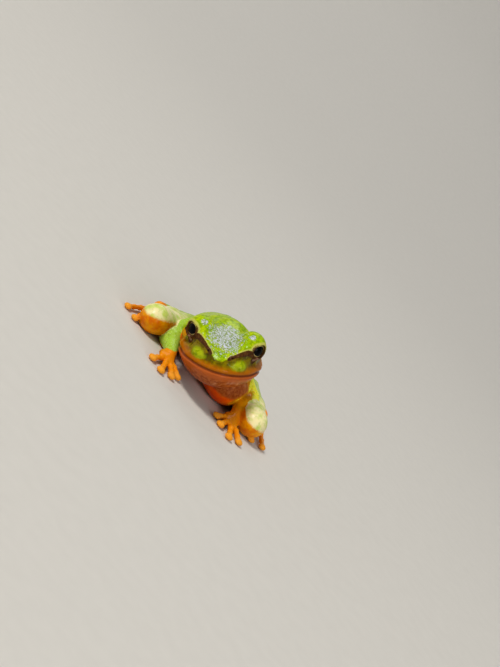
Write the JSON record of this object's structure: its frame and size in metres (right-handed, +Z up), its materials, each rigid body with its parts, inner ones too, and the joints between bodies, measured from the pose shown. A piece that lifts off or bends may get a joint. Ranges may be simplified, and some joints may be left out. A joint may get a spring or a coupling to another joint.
{
  "type": "tree frog model",
  "caption": "Life-size still model of a small green tree frog crouching with head up, orange underside and toe discs flat on the ground.",
  "frame": {"origin": "under the middle of the bounding box, on the surface that the frog sits on", "axes": "+Z up, +Y from the snout to the rear so the frog faces -Y, +X to the frog's left"},
  "size_m": [0.0304, 0.0382, 0.0131],
  "materials": {
    "green_skin": "moist, finely grained skin with a low sheen",
    "yellow_green_skin": "moist skin, yellow-green above and orange below",
    "orange_skin": "moist, smooth skin",
    "dark_eye": "wet, glossy eyeball"
  },
  "bodies": {
    "root": {"head": "green_skin", "torso": "green_skin", "eye_left": "dark_eye", "eye_right": "dark_eye", "thigh_left": "yellow_green_skin", "shank_left": "yellow_green_skin", "tarsus_left": "orange_skin", "foot_left": "orange_skin", "upper_arm_left": "yellow_green_skin", "forearm_left": "yellow_green_skin", "hand_left": "orange_skin", "thigh_right": "yellow_green_skin", "shank_right": "yellow_green_skin", "tarsus_right": "orange_skin", "foot_right": "orange_skin", "upper_arm_right": "yellow_green_skin", "forearm_right": "yellow_green_skin", "hand_right": "orange_skin"}
  },
  "joints": []
}
